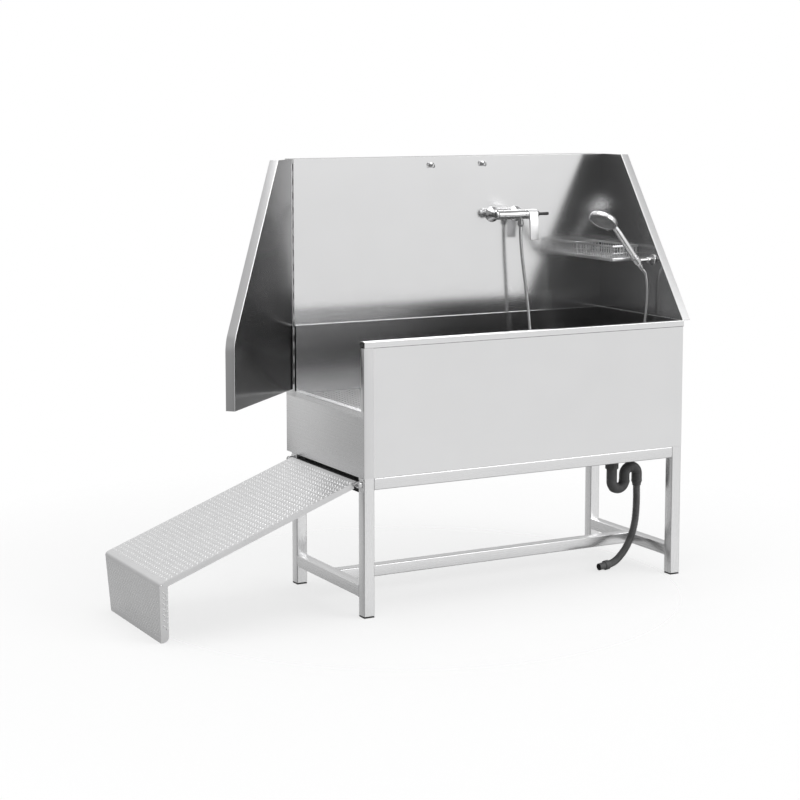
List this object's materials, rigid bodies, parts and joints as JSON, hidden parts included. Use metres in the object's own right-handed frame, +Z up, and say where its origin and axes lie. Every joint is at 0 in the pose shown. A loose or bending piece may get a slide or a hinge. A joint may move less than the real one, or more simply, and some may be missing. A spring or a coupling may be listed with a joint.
{
  "type": "pet grooming bathtub",
  "caption": "Stainless steel dog grooming bath on a welded frame, with a low step-in end, a swinging side door, a hinged ramp, a splash back, mixer, hand shower, basket and trapped drain.",
  "frame": {"origin": "middle of the object's footprint on the floor, with the ramp down and the side door half open", "axes": "+X along the tub away from the ramp, +Y towards the splash back, +Z up"},
  "size_m": [2.0464, 0.604, 1.52],
  "materials": {
    "steel": "brushed, satin",
    "chequer_plate": "rolled diamond tread",
    "chrome": "polished",
    "shower_hose": "spiral wound metal hose",
    "spray_face": "satin, with rubber nozzles",
    "waste_plastic": "moulded, satin",
    "black_plastic": "moulded, satin"
  },
  "bodies": {
    "bath": {"leg_front_left": "steel", "leg_front_right": "steel", "leg_back_left": "steel", "leg_back_right": "steel", "glide_front_left": "black_plastic", "glide_front_right": "black_plastic", "glide_back_left": "black_plastic", "glide_back_right": "black_plastic", "top_rail_front": "steel", "top_rail_back": "steel", "top_rail_left": "steel", "top_rail_right": "steel", "lower_rail_left": "steel", "lower_rail_right": "steel", "lower_rail_middle": "steel", "tub_apron": "steel", "tub_end_wall_left": "steel", "tub_end_wall_right": "steel", "tub_back_wall": "steel", "tub_floor_pan": "steel", "floor_panel_right": "steel", "floor_support_front": "steel", "floor_support_back": "steel", "splash_back_panel": "steel", "housing_rear_panel": "steel", "housing_side_left": "steel", "housing_side_right": "steel", "splash_panel_right": "steel", "door_hinge_fixed_leaf": "steel", "door_hinge_pin": "steel", "ramp_hinge_rod": "steel", "ramp_lug_front": "steel", "ramp_lug_back": "steel", "mixer_body": "chrome", "mixer_union_left": "chrome", "mixer_union_right": "chrome", "mixer_hose_nut": "chrome", "handset_hose_nut": "chrome", "shower_holder": "chrome", "shower_hose": "shower_hose", "soap_basket": "chrome", "leash_eye_left": "chrome", "leash_eye_right": "chrome", "drain_body": "chrome", "drain_locknut": "waste_plastic", "trap_slip_nut": "waste_plastic", "drain_trap": "waste_plastic", "trap_coupling": "waste_plastic", "waste_hose": "waste_plastic", "waste_hose_cuff": "waste_plastic"},
    "door": {"door_leaf": "steel", "door_hinge_moving_leaf": "steel"},
    "ramp": {"ramp_plate": "chequer_plate"},
    "mixer_lever": {"mixer_lever": "chrome"},
    "mixer_side_handle": {"mixer_side_handle": "black_plastic"},
    "handset": {"shower_handset": "chrome"},
    "spray_face": {"spray_face": "spray_face"},
    "strainer": {"drain_strainer": "chrome"},
    "floor_panel_left": {"floor_panel_left": "steel"},
    "floor_panel_middle": {"floor_panel_middle": "steel"}
  },
  "joints": [
    {"name": "door_hinge", "type": "hinge", "parent": "bath", "child": "door", "pos_m": [-0.3145, 0.238, 1.115], "axis": [0, 0, 1], "range_deg": [-43, 47]},
    {"name": "ramp_hinge", "type": "hinge", "parent": "bath", "child": "ramp", "pos_m": [-0.32, -0.018, 0.455], "axis": [0, 1, 0], "range_deg": [0, 35]},
    {"name": "mixer_lever_lift", "type": "hinge", "parent": "bath", "child": "mixer_lever", "pos_m": [0.6393, 0.172, 1.303], "axis": [1, 0, 0], "range_deg": [-55, 0]},
    {"name": "mixer_side_turn", "type": "hinge", "parent": "bath", "child": "mixer_side_handle", "pos_m": [0.683, 0.172, 1.303], "axis": [1, 0, 0], "range_deg": [-90, 90]},
    {"name": "handset_turn", "type": "hinge", "parent": "bath", "child": "handset", "pos_m": [0.908, -0.11296, 1.15], "axis": [-0.6157, 0, 0.788], "range_deg": [-50, 50]},
    {"name": "spray_select", "type": "hinge", "parent": "handset", "child": "spray_face", "pos_m": [0.76251, -0.11925, 1.29191], "axis": [-0.5255, -0.2127, -0.8238], "range_deg": [-60, 0]},
    {"name": "strainer_lift", "type": "slide", "parent": "bath", "child": "strainer", "axis": [0, 0, 1], "range_m": [0, 0.08]},
    {"name": "floor_panel_left_lift", "type": "slide", "parent": "bath", "child": "floor_panel_left", "axis": [0, 0, 1], "range_m": [0, 0.2]},
    {"name": "floor_panel_middle_lift", "type": "slide", "parent": "bath", "child": "floor_panel_middle", "axis": [0, 0, 1], "range_m": [0, 0.2]}
  ]
}
